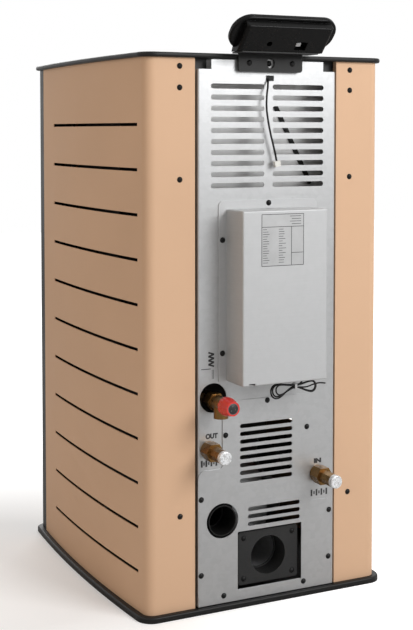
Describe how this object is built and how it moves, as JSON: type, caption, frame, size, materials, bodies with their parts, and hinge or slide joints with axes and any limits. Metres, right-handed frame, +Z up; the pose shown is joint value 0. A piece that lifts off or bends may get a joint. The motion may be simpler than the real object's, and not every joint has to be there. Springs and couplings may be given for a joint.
{
  "type": "pellet boiler stove",
  "caption": "Free-standing pellet boiler stove: bowed sheet sides, fire door, hopper, auger, smoke fan, water fittings and a tilted display on the back edge.",
  "frame": {"origin": "on the floor, under the middle of the cabinet", "axes": "+Z up, -Y towards the room on the fire door's side, +Y towards the wall and the pipes"},
  "size_m": [0.6038, 0.7909, 1.2243],
  "materials": {
    "tan_paint": "fine textured paint",
    "black_paint": "satin black paint",
    "galvanised": "galvanised sheet, dull",
    "frame_steel": "dark primer",
    "boiler_steel": "heat-resistant grey paint",
    "cast_iron": "dark casting",
    "box_grey": "plain sheet, dull",
    "brass": "turned brass",
    "cap_bright": "bright",
    "red_plastic": "moulded",
    "black_plastic": "fine grain",
    "gloss_black": "glossy",
    "button_grey": "fine grain",
    "door_glass": "heat-resistant glass",
    "gasket": "woven glass cord",
    "brick": "pressed mineral board",
    "screw_black": "black oxide",
    "zinc": "bright zinc plate",
    "board_green": "lacquered board",
    "motor_grey": "die-cast",
    "vessel_red": "gloss paint",
    "lead_black": "soft sheath",
    "tie_grey": "nylon",
    "connector_white": "nylon"
  },
  "bodies": {
    "cabinet": {"base_plate": "black_paint", "top_plate": "black_paint", "lid_hinge_pins": "zinc", "side_panel_right": "tan_paint", "side_panel_left": "tan_paint", "frame_posts": "frame_steel", "back_panel": "galvanised", "service_cover": "galvanised", "flue_flange": "cast_iron", "air_intake_pipe": "black_paint", "electronics_backplate": "box_grey", "electronics_box": "box_grey", "control_board": "board_green", "side_panel_screws": "screw_black", "rear_screws": "screw_black", "display_bracket": "black_paint", "display_housing": "black_plastic", "display_fascia": "gloss_black", "front_frame": "black_paint", "upper_front_panel": "tan_paint", "lower_front_panel": "tan_paint", "door_hinge_pins": "zinc", "boiler_base": "boiler_steel", "boiler_body": "boiler_steel", "firebrick_lining": "brick", "burn_pot": "cast_iron", "igniter": "zinc", "hopper": "galvanised", "hopper_brace": "black_paint", "auger_tube": "boiler_steel", "auger_gearmotor": "motor_grey", "fan_housing": "galvanised", "fan_motor": "motor_grey", "smoke_duct": "boiler_steel", "water_pipes": "zinc", "circulation_pump": "cast_iron", "expansion_vessel": "vessel_red", "outlet_fitting": "brass", "inlet_fitting": "brass", "outlet_cap": "cap_bright", "inlet_cap": "cap_bright", "safety_valve_body": "brass", "lead_grommet": "lead_black", "signal_lead": "lead_black", "lead_connector": "connector_white", "probe_hank": "lead_black", "hank_tie": "tie_grey"},
    "fire_door": {"fire_door": "cast_iron", "door_glass": "door_glass", "door_gasket": "gasket"},
    "door_handle": {"door_handle": "black_paint"},
    "ash_drawer": {"ash_drawer": "black_paint"},
    "hopper_lid": {"hopper_lid": "black_paint"},
    "auger_screw": {"auger_screw": "zinc"},
    "fan_impeller": {"fan_impeller": "zinc"},
    "safety_valve_knob": {"safety_valve_knob": "red_plastic"},
    "display_button_1": {"display_button_1": "button_grey"},
    "display_button_2": {"display_button_2": "button_grey"},
    "display_button_3": {"display_button_3": "button_grey"},
    "display_button_4": {"display_button_4": "button_grey"}
  },
  "joints": [
    {"name": "fire_door_hinge", "type": "hinge", "parent": "cabinet", "child": "fire_door", "pos_m": [-0.208, -0.3386, 0.57], "axis": [0, 0, -1], "range_deg": [0, 110]},
    {"name": "door_handle_turn", "type": "hinge", "parent": "fire_door", "child": "door_handle", "pos_m": [0.178, -0.32, 0.57], "axis": [0, 1, 0], "range_deg": [0, 80]},
    {"name": "ash_drawer_slide", "type": "slide", "parent": "cabinet", "child": "ash_drawer", "axis": [0, -1, 0], "range_m": [0, 0.22]},
    {"name": "hopper_lid_hinge", "type": "hinge", "parent": "cabinet", "child": "hopper_lid", "pos_m": [0, 0.262, 1.146], "axis": [-1, 0, 0], "range_deg": [0, 85]},
    {"name": "auger_turn", "type": "hinge", "parent": "cabinet", "child": "auger_screw", "pos_m": [0, 0.215, 0.5], "axis": [0, -0.788, 0.6157], "continuous": true},
    {"name": "smoke_fan_turn", "type": "hinge", "parent": "cabinet", "child": "fan_impeller", "pos_m": [-0.005, 0.15, 0.166], "axis": [1, 0, 0], "continuous": true},
    {"name": "safety_valve_knob_turn", "type": "hinge", "parent": "cabinet", "child": "safety_valve_knob", "pos_m": [0.128, 0.4, 0.441], "axis": [0, 1, 0], "range_deg": [0, 90]},
    {"name": "display_button_1_press", "type": "slide", "parent": "cabinet", "child": "display_button_1", "axis": [0, 0.7193, -0.6947], "range_m": [0, 0.0012], "stiffness_N_per_m": 400},
    {"name": "display_button_2_press", "type": "slide", "parent": "cabinet", "child": "display_button_2", "axis": [0, 0.7193, -0.6947], "range_m": [0, 0.0012], "stiffness_N_per_m": 400},
    {"name": "display_button_3_press", "type": "slide", "parent": "cabinet", "child": "display_button_3", "axis": [0, 0.7193, -0.6947], "range_m": [0, 0.0012], "stiffness_N_per_m": 400},
    {"name": "display_button_4_press", "type": "slide", "parent": "cabinet", "child": "display_button_4", "axis": [0, 0.7193, -0.6947], "range_m": [0, 0.0012], "stiffness_N_per_m": 400}
  ]
}
